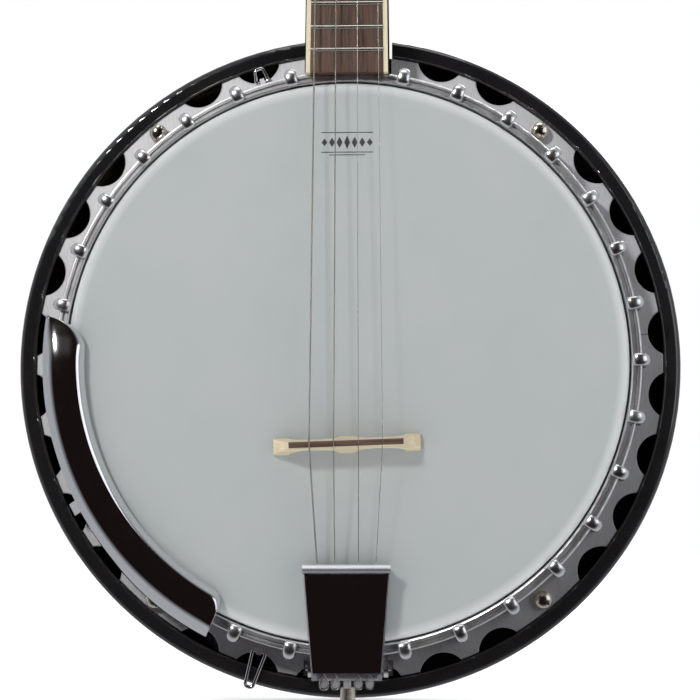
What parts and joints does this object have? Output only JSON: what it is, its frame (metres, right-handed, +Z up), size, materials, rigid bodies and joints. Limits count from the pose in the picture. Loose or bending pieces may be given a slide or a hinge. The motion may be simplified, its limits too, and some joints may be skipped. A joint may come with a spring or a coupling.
{
  "type": "resonator banjo",
  "caption": "Resonator banjo with a round drum head, scalloped metal flange, armrest, tailpiece, movable bridge and fretted neck.",
  "frame": {"origin": "on the drum's axis, at the flat back of the resonator", "axes": "+Z up the neck, -Y out of the playing face, +X to the right of someone facing the instrument"},
  "size_m": [0.3366, 0.1044, 0.8841],
  "materials": {
    "rim_maple": "stained laminated maple, satin lacquer",
    "brass_ring": "turned brass, light tarnish",
    "drum_skin": "frosted coated film, pale grey-blue, brighter at the rim",
    "flesh_aluminium": "mill finish",
    "hoop_chrome": "bright chrome",
    "flange_nickel": "satin nickel plate",
    "hook_chrome": "bright chrome",
    "nut_chrome": "bright chrome",
    "rod_steel": "zinc-plated steel",
    "black_lacquer": "deep black gloss lacquer on wood",
    "lug_steel": "zinc-plated steel",
    "tailpiece_chrome": "mirror chrome",
    "screw_nickel": "polished nickel, slightly warm",
    "armrest_chrome": "mirror chrome",
    "wire_chrome": "bright chrome wire",
    "bridge_maple": "bare pale maple",
    "cap_ebony": "dark brown ebony",
    "neck_lacquer": "black gloss lacquer on mahogany",
    "board_rosewood": "open-grained rosewood, oiled",
    "cream_binding": "cream binding, polished",
    "fret_nickel": "polished nickel-silver wire",
    "pearl_marker": "pearloid",
    "nut_bone": "polished bone",
    "cover_plastic": "black plastic",
    "tuner_chrome": "bright chrome",
    "button_pearl": "cream pearloid",
    "string_steel": "plain and wound steel wire"
  },
  "bodies": {
    "root": {"rim": "rim_maple", "tone_ring": "brass_ring", "head": "drum_skin", "flesh_hoop": "flesh_aluminium", "tension_hoop": "hoop_chrome", "flange_plates": "flange_nickel", "bracket_hooks": "hook_chrome", "bracket_nuts": "nut_chrome", "coordinator_rods": "rod_steel", "rod_nuts": "rod_steel", "heel_studs": "rod_steel", "tailpiece_hanger": "hook_chrome", "hanger_bolt": "hook_chrome", "hinge_pin": "rod_steel", "armrest": "armrest_chrome", "armrest_clamp": "hook_chrome", "clamp_screw": "screw_nickel", "bridge": "bridge_maple", "bridge_cap": "cap_ebony", "string_1": "string_steel", "string_2": "string_steel", "string_3": "string_steel", "string_4": "string_steel", "neck": "neck_lacquer", "fingerboard": "board_rosewood", "board_binding": "cream_binding", "frets": "fret_nickel", "fret_markers": "pearl_marker", "nut": "nut_bone", "headstock_veneer": "black_lacquer", "truss_rod": "rod_steel", "truss_cover": "cover_plastic", "headstock_screws": "screw_nickel", "tuner_housings": "tuner_chrome", "tuner_bushings": "tuner_chrome"},
    "resonator": {"resonator_wall": "black_lacquer", "resonator_back": "black_lacquer", "resonator_lugs": "lug_steel", "lug_screws": "lug_steel"},
    "tailpiece": {"tailpiece_base": "tailpiece_chrome", "tailpiece_cover": "tailpiece_chrome"},
    "adjusting_screw": {"adjusting_screw": "screw_nickel"},
    "strap_loop_lower": {"strap_loop_lower": "wire_chrome"},
    "strap_loop_upper": {"strap_loop_upper": "wire_chrome"},
    "thumbscrew_1": {"thumbscrew_1": "screw_nickel"},
    "thumbscrew_2": {"thumbscrew_2": "screw_nickel"},
    "thumbscrew_3": {"thumbscrew_3": "screw_nickel"},
    "thumbscrew_4": {"thumbscrew_4": "screw_nickel"},
    "tuner_knob_1": {"tuner_worm_1": "tuner_chrome", "tuner_button_1": "button_pearl"},
    "tuner_post_1": {"tuner_post_1": "tuner_chrome"},
    "tuner_knob_2": {"tuner_worm_2": "tuner_chrome", "tuner_button_2": "button_pearl"},
    "tuner_post_2": {"tuner_post_2": "tuner_chrome"},
    "tuner_knob_3": {"tuner_worm_3": "tuner_chrome", "tuner_button_3": "button_pearl"},
    "tuner_post_3": {"tuner_post_3": "tuner_chrome"},
    "tuner_knob_4": {"tuner_worm_4": "tuner_chrome", "tuner_button_4": "button_pearl"},
    "tuner_post_4": {"tuner_post_4": "tuner_chrome"}
  },
  "joints": [
    {"name": "resonator_off", "type": "slide", "parent": "root", "child": "resonator", "axis": [0, 1, 0], "range_m": [0, 0.12]},
    {"name": "adjusting_screw_turn", "type": "hinge", "parent": "tailpiece", "child": "adjusting_screw", "pos_m": [0, -0.08, -0.16], "axis": [0, 0, 1], "range_deg": [-45, 270]},
    {"name": "tailpiece_tilt", "type": "hinge", "parent": "root", "child": "tailpiece", "pos_m": [0, -0.0715, -0.153], "axis": [1, 0, 0], "range_deg": [-0.56, 3.35], "deforming": ["string_1", "string_2", "string_3", "string_4"]},
    {"name": "thumbscrew_1_out", "type": "slide", "parent": "root", "child": "thumbscrew_1", "axis": [0, -1, 0], "range_m": [0, 0.0125]},
    {"name": "thumbscrew_2_out", "type": "slide", "parent": "root", "child": "thumbscrew_2", "axis": [0, -1, 0], "range_m": [0, 0.0125]},
    {"name": "thumbscrew_3_out", "type": "slide", "parent": "root", "child": "thumbscrew_3", "axis": [0, -1, 0], "range_m": [0, 0.0125]},
    {"name": "thumbscrew_4_out", "type": "slide", "parent": "root", "child": "thumbscrew_4", "axis": [0, -1, 0], "range_m": [0, 0.0125]},
    {"name": "strap_loop_lower_swing", "type": "hinge", "parent": "root", "child": "strap_loop_lower", "pos_m": [-0.0448, -0.0675, -0.14472], "axis": [-0.9553, 0, 0.2957], "range_deg": [0, 100]},
    {"name": "strap_loop_upper_swing", "type": "hinge", "parent": "root", "child": "strap_loop_upper", "pos_m": [-0.04404, -0.0675, 0.14496], "axis": [0.9568, 0, 0.2907], "range_deg": [0, 100]},
    {"name": "tuner_1_turn", "type": "hinge", "parent": "root", "child": "tuner_knob_1", "pos_m": [-0.04, -0.04692, 0.58273], "axis": [-1, 0, 0], "continuous": true},
    {"name": "tuner_1_post", "type": "hinge", "parent": "root", "child": "tuner_post_1", "pos_m": [-0.02, -0.0656, 0.59438], "axis": [0, -0.9681, 0.2505], "continuous": true},
    {"name": "tuner_2_turn", "type": "hinge", "parent": "root", "child": "tuner_knob_2", "pos_m": [-0.042, -0.03139, 0.64275], "axis": [-1, 0, 0], "continuous": true},
    {"name": "tuner_2_post", "type": "hinge", "parent": "root", "child": "tuner_post_2", "pos_m": [-0.022, -0.05006, 0.65441], "axis": [0, -0.9681, 0.2505], "continuous": true},
    {"name": "tuner_3_turn", "type": "hinge", "parent": "root", "child": "tuner_knob_3", "pos_m": [0.042, -0.03139, 0.64275], "axis": [1, 0, 0], "continuous": true},
    {"name": "tuner_3_post", "type": "hinge", "parent": "root", "child": "tuner_post_3", "pos_m": [0.022, -0.05006, 0.65441], "axis": [0, -0.9681, 0.2505], "continuous": true},
    {"name": "tuner_4_turn", "type": "hinge", "parent": "root", "child": "tuner_knob_4", "pos_m": [0.04, -0.04692, 0.58273], "axis": [1, 0, 0], "continuous": true},
    {"name": "tuner_4_post", "type": "hinge", "parent": "root", "child": "tuner_post_4", "pos_m": [0.02, -0.0656, 0.59438], "axis": [0, -0.9681, 0.2505], "continuous": true}
  ],
  "couplings": [
    {"joint": "tailpiece_tilt", "follows": "adjusting_screw_turn", "ratio": 0.01238},
    {"joint": "tuner_1_post", "follows": "tuner_1_turn", "ratio": 0.071429},
    {"joint": "tuner_2_post", "follows": "tuner_2_turn", "ratio": 0.071429},
    {"joint": "tuner_3_post", "follows": "tuner_3_turn", "ratio": 0.071429},
    {"joint": "tuner_4_post", "follows": "tuner_4_turn", "ratio": 0.071429}
  ]
}
